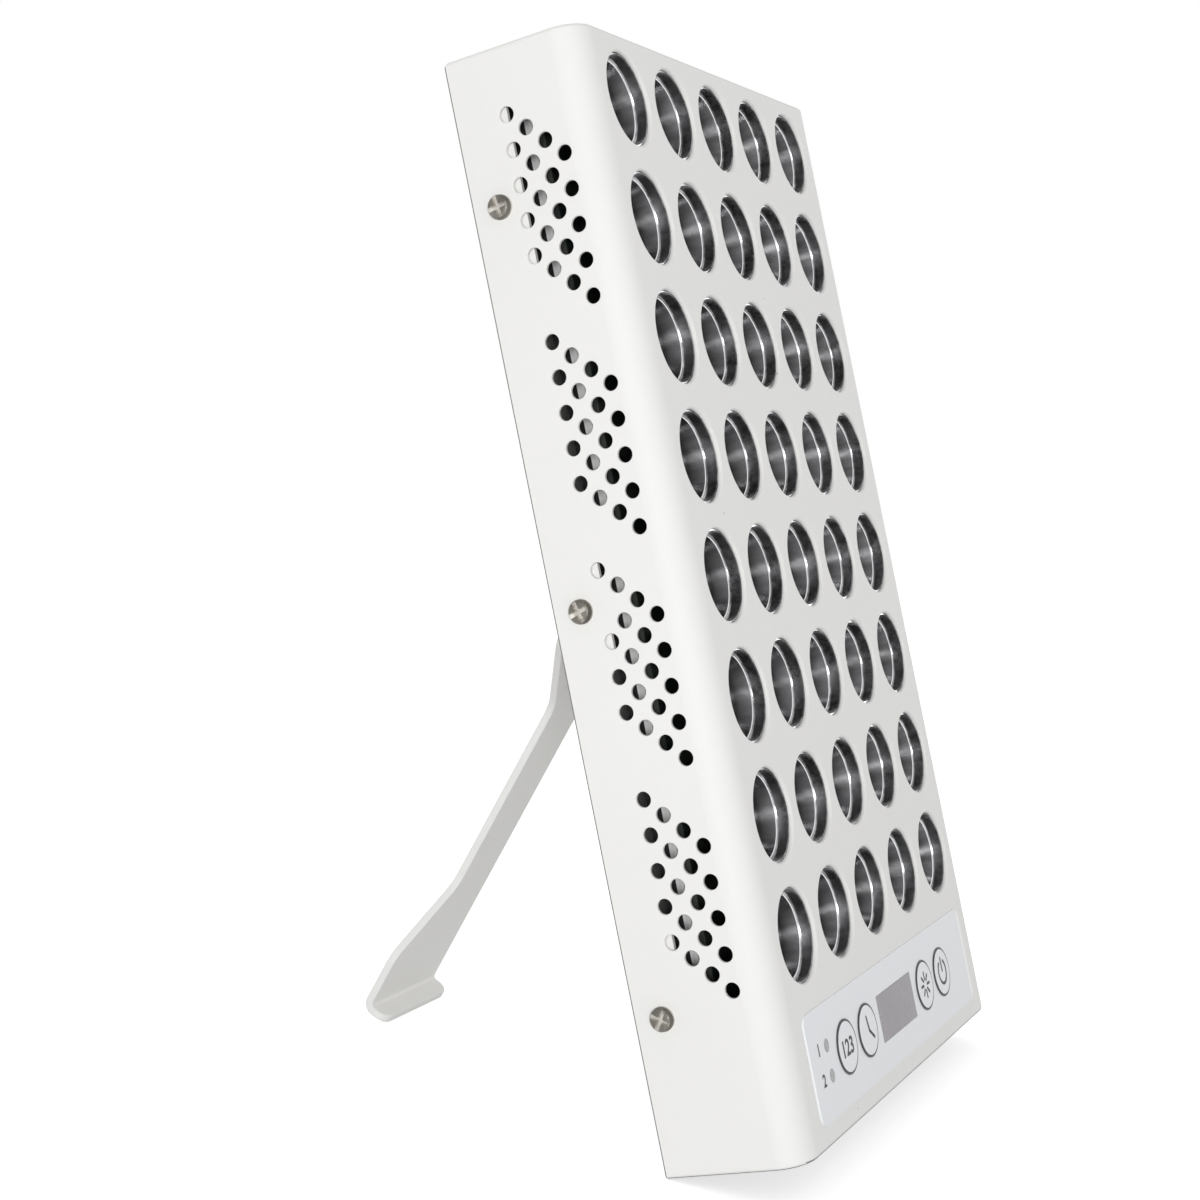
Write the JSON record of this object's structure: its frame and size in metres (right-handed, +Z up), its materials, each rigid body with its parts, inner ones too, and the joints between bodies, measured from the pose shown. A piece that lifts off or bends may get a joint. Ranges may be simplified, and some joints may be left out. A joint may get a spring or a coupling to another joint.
{
  "type": "light therapy lamp",
  "caption": "Tabletop light therapy panel: sheet-metal case with a grid of reflector lights, side vents, a button strip along the bottom and a fold-out rear leg",
  "frame": {"origin": "On the table under the middle of the whole lamp, with the leg opened.", "axes": "+X to the right as seen from the front, the lit face looks towards -Y and leans back by 17 degrees, +Z up."},
  "size_m": [0.2116, 0.2022, 0.3535],
  "materials": {
    "white_enamel": "satin powder coat",
    "overlay_film": "fine matt polycarbonate film",
    "smoked_window": "smooth",
    "button_plastic": "satin",
    "indicator_plastic": "smooth",
    "black_plastic": "moulded, satin",
    "circuit_board": "white solder mask",
    "metallised_plastic": "vacuum metallised",
    "led_die": "phosphor",
    "bare_aluminium": "extruded",
    "plated_steel": "zinc plated",
    "inlet_brass": "plated"
  },
  "bodies": {
    "case": {"front_case": "white_enamel", "rear_cover": "white_enamel", "hinge_bracket": "white_enamel", "control_overlay": "overlay_film", "display_window": "smoked_window", "display_module": "black_plastic", "indicator_pipes": "indicator_plastic", "tact_switches": "black_plastic", "control_board": "circuit_board", "board_standoffs": "plated_steel", "board_screws": "plated_steel", "reflector_cups": "metallised_plastic", "led_emitters": "led_die", "led_board": "circuit_board", "heat_sink": "bare_aluminium", "mounting_studs": "plated_steel", "stud_nuts": "plated_steel", "side_screws": "plated_steel", "side_nuts": "plated_steel", "fan_frames": "black_plastic", "fan_screws": "plated_steel", "led_driver": "bare_aluminium", "driver_screws": "plated_steel", "power_inlet": "black_plastic", "inlet_contacts": "inlet_brass", "hinge_rivets": "plated_steel", "hinge_pin": "plated_steel"},
    "leg": {"stand_leg": "white_enamel"},
    "mode_key": {"mode_button": "button_plastic"},
    "timer_key": {"timer_button": "button_plastic"},
    "brightness_key": {"brightness_button": "button_plastic"},
    "power_key": {"power_button": "button_plastic"},
    "lower_rotor": {"lower_fan_rotor": "black_plastic"},
    "upper_rotor": {"upper_fan_rotor": "black_plastic"}
  },
  "joints": [
    {"name": "leg_fold", "type": "hinge", "parent": "case", "child": "leg", "pos_m": [-0.005, 0.00847, 0.19188], "axis": [1, 0, 0], "range_deg": [-42.9, 0]},
    {"name": "mode_press", "type": "slide", "parent": "case", "child": "mode_key", "axis": [0, 0.9558, -0.2941], "range_m": [0, 0.0008], "stiffness_N_per_m": 900, "springref_m": -0.0004},
    {"name": "timer_press", "type": "slide", "parent": "case", "child": "timer_key", "axis": [0, 0.9558, -0.2941], "range_m": [0, 0.0008], "stiffness_N_per_m": 900, "springref_m": -0.0004},
    {"name": "brightness_press", "type": "slide", "parent": "case", "child": "brightness_key", "axis": [0, 0.9558, -0.2941], "range_m": [0, 0.0008], "stiffness_N_per_m": 900, "springref_m": -0.0004},
    {"name": "power_press", "type": "slide", "parent": "case", "child": "power_key", "axis": [0, 0.9558, -0.2941], "range_m": [0, 0.0008], "stiffness_N_per_m": 900, "springref_m": -0.0004},
    {"name": "lower_fan_spin", "type": "hinge", "parent": "case", "child": "lower_rotor", "pos_m": [0, -0.02547, 0.10367], "axis": [0, -0.9558, 0.2941], "continuous": true},
    {"name": "upper_fan_spin", "type": "hinge", "parent": "case", "child": "upper_rotor", "pos_m": [0, 0.02746, 0.27571], "axis": [0, -0.9558, 0.2941], "continuous": true}
  ]
}
